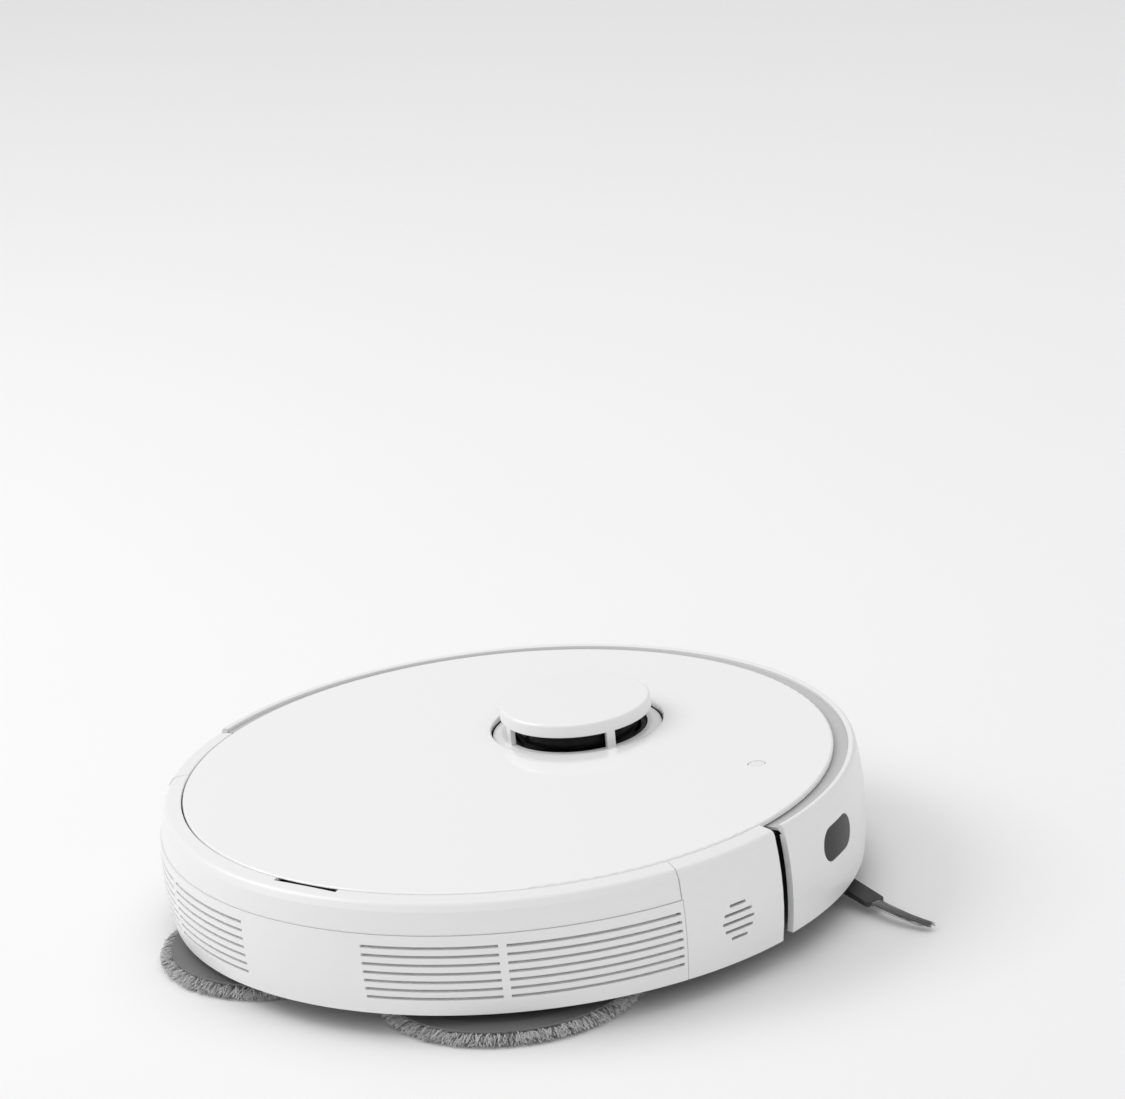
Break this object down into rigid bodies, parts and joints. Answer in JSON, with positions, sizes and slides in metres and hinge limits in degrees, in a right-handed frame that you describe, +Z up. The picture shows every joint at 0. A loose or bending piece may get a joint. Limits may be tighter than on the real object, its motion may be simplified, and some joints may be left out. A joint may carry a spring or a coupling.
{
  "type": "robot vacuum",
  "caption": "Round robot vacuum and mop with a laser turret, sprung front bumper, vented rear skirt, side brush, roller brush, drive wheels and spinning mop pads.",
  "frame": {"origin": "on the floor, midway between the drive wheels, under the centre of the round body", "axes": "+Y is the driving direction, towards the bumper; +X is the robot's right, where the side brush is; +Z is up"},
  "size_m": [0.3887, 0.3499, 0.0834],
  "materials": {
    "arm_rubber": "soft moulded rubber",
    "battery_wrap": "shrink-wrapped pack",
    "belt_rubber": "flat belt",
    "bin_clear": "smoked clear bin",
    "board_green": "lacquered board",
    "bumper_white": "satin bumper plastic",
    "button_grey": "gloss button",
    "cap_rubber": "soft stopper",
    "contact_plate": "nickel-plated contact",
    "dark_window": "smoked infrared window",
    "filter_paper": "pleated filter paper",
    "frame_black": "matte inner frame",
    "gear_nylon": "natural nylon",
    "hub_grey": "matte hub",
    "liner_grey": "matte louvre backing",
    "mop_fibre": "looped microfibre",
    "motor_can": "plated motor can",
    "pan_grey": "matte textured underside",
    "plate_grey": "matte mop plate",
    "ring_grey": "satin grey strip",
    "roller_rubber": "soft rubber fins",
    "screw": "dark zinc",
    "steel": "plain steel",
    "tank_clear": "frosted clear tank",
    "tuft_nylon": "nylon bristles",
    "turret_white": "gloss cap plastic",
    "tyre_rubber": "moulded tread",
    "unit_black": "matte housing",
    "unit_grey": "matte housing",
    "white_gloss": "high-gloss lid plastic",
    "white_shell": "satin shell plastic"
  },
  "bodies": {
    "chassis": {"arm_brackets": "unit_black", "battery_pack": "battery_wrap", "bin_filter": "filter_paper", "bin_handle": "unit_grey", "brush_cage": "unit_black", "brush_gearbox": "unit_black", "brush_guard": "unit_grey", "bumper_springs": "steel", "bumper_switches": "unit_black", "caster_socket": "unit_black", "charging_contacts": "contact_plate", "chassis_pan": "pan_grey", "cliff_windows": "dark_window", "dust_bin": "bin_clear", "fan_housing": "unit_black", "fan_motor": "motor_can", "inner_deck": "frame_black", "laser_base": "unit_black", "laser_belt": "belt_rubber", "laser_motor": "motor_can", "main_board": "board_green", "mop_gearbox": "unit_black", "pan_screws": "screw", "rear_band": "white_shell", "rear_housing": "white_shell", "side_brush_motor": "unit_black", "speaker": "unit_black", "tank_cap": "cap_rubber", "vent_louvre_liner": "liner_grey", "water_pump": "unit_grey", "water_tank": "tank_clear"},
    "lid": {"top_lid": "white_gloss"},
    "button": {"power_button": "button_grey"},
    "turret": {"turret_cap": "turret_white"},
    "laser": {"laser_head": "dark_window"},
    "laser_pulley": {"laser_motor_pulley": "gear_nylon"},
    "bumper_body": {"bumper": "bumper_white", "bumper_ring": "ring_grey", "wall_sensor_window": "dark_window", "front_sensor_window": "dark_window"},
    "arm_right": {"drive_arm_right": "unit_black"},
    "arm_left": {"drive_arm_left": "unit_black"},
    "wheel_right": {"tyre_right": "tyre_rubber", "wheel_hub_right": "hub_grey"},
    "wheel_left": {"tyre_left": "tyre_rubber", "wheel_hub_left": "hub_grey"},
    "caster": {"caster_fork": "unit_grey"},
    "caster_roller": {"caster_wheel": "hub_grey"},
    "main_brush": {"brush_roller": "roller_rubber"},
    "side_brush": {"side_brush_hub": "unit_grey", "side_brush_arms": "arm_rubber", "side_brush_tufts": "tuft_nylon"},
    "mop_right": {"mop_plate_right": "plate_grey", "mop_pad_right": "mop_fibre", "mop_shaft_right": "gear_nylon"},
    "mop_left": {"mop_plate_left": "plate_grey", "mop_pad_left": "mop_fibre", "mop_shaft_left": "gear_nylon"},
    "worm": {"mop_worm": "steel"},
    "fan": {"fan_impeller": "gear_nylon"}
  },
  "joints": [
    {"name": "lid_lift", "type": "slide", "parent": "chassis", "child": "lid", "axis": [0, 0, 1], "range_m": [0, 0.12]},
    {"name": "button_press", "type": "slide", "parent": "lid", "child": "button", "axis": [0, 0, -1], "range_m": [0, 0.0006], "stiffness_N_per_m": 400, "springref_m": -0.001},
    {"name": "turret_press", "type": "slide", "parent": "chassis", "child": "turret", "axis": [0, 0, -1], "range_m": [0, 0.0015], "stiffness_N_per_m": 600, "springref_m": -0.002},
    {"name": "laser_spin", "type": "hinge", "parent": "chassis", "child": "laser", "pos_m": [0, 0.06, 0.07], "axis": [0, 0, 1], "continuous": true},
    {"name": "laser_pulley_spin", "type": "hinge", "parent": "chassis", "child": "laser_pulley", "pos_m": [-0.044, 0.0355, 0.054], "axis": [0, 0, 1], "continuous": true},
    {"name": "bumper_press", "type": "slide", "parent": "chassis", "child": "bumper_body", "axis": [0, -1, 0], "range_m": [0, 0.0035], "stiffness_N_per_m": 500, "springref_m": -0.003},
    {"name": "suspension_right", "type": "hinge", "parent": "chassis", "child": "arm_right", "pos_m": [0.09175, -0.044, 0.033], "axis": [-1, 0, 0], "range_deg": [0, 20], "stiffness_Nm_per_rad": 0.2, "springref_deg": 45.84},
    {"name": "suspension_left", "type": "hinge", "parent": "chassis", "child": "arm_left", "pos_m": [-0.09175, -0.044, 0.033], "axis": [-1, 0, 0], "range_deg": [0, 20], "stiffness_Nm_per_rad": 0.2, "springref_deg": 45.84},
    {"name": "wheel_right_spin", "type": "hinge", "parent": "arm_right", "child": "wheel_right", "pos_m": [0.111, 0, 0.028], "axis": [1, 0, 0], "continuous": true},
    {"name": "wheel_left_spin", "type": "hinge", "parent": "arm_left", "child": "wheel_left", "pos_m": [-0.111, 0, 0.028], "axis": [1, 0, 0], "continuous": true},
    {"name": "caster_swivel", "type": "hinge", "parent": "chassis", "child": "caster", "pos_m": [0, 0.13, 0.03], "axis": [0, 0, 1], "continuous": true},
    {"name": "caster_roll", "type": "hinge", "parent": "caster", "child": "caster_roller", "pos_m": [0, 0.121, 0.0125], "axis": [1, 0, 0], "continuous": true},
    {"name": "main_brush_spin", "type": "hinge", "parent": "chassis", "child": "main_brush", "pos_m": [0, 0.056, 0.0215], "axis": [1, 0, 0], "continuous": true},
    {"name": "side_brush_spin", "type": "hinge", "parent": "chassis", "child": "side_brush", "pos_m": [0.118, 0.079, 0.008], "axis": [0, 0, 1], "continuous": true, "deforming": ["side_brush_arms", "side_brush_tufts"]},
    {"name": "mop_right_spin", "type": "hinge", "parent": "chassis", "child": "mop_right", "pos_m": [0.0666, -0.0995, 0.006], "axis": [0, 0, 1], "continuous": true},
    {"name": "mop_left_spin", "type": "hinge", "parent": "chassis", "child": "mop_left", "pos_m": [-0.0666, -0.0995, 0.006], "axis": [0, 0, 1], "continuous": true},
    {"name": "mop_worm_spin", "type": "hinge", "parent": "chassis", "child": "worm", "pos_m": [0, -0.0791, 0.0225], "axis": [1, 0, 0], "continuous": true},
    {"name": "fan_spin", "type": "hinge", "parent": "chassis", "child": "fan", "pos_m": [0.1, -0.088, 0.045], "axis": [0, 0, 1], "continuous": true}
  ],
  "couplings": [
    {"joint": "laser_pulley_spin", "follows": "laser_spin", "ratio": 7.2},
    {"joint": "mop_left_spin", "follows": "mop_right_spin", "ratio": -1},
    {"joint": "mop_worm_spin", "follows": "mop_right_spin", "ratio": 20}
  ]
}
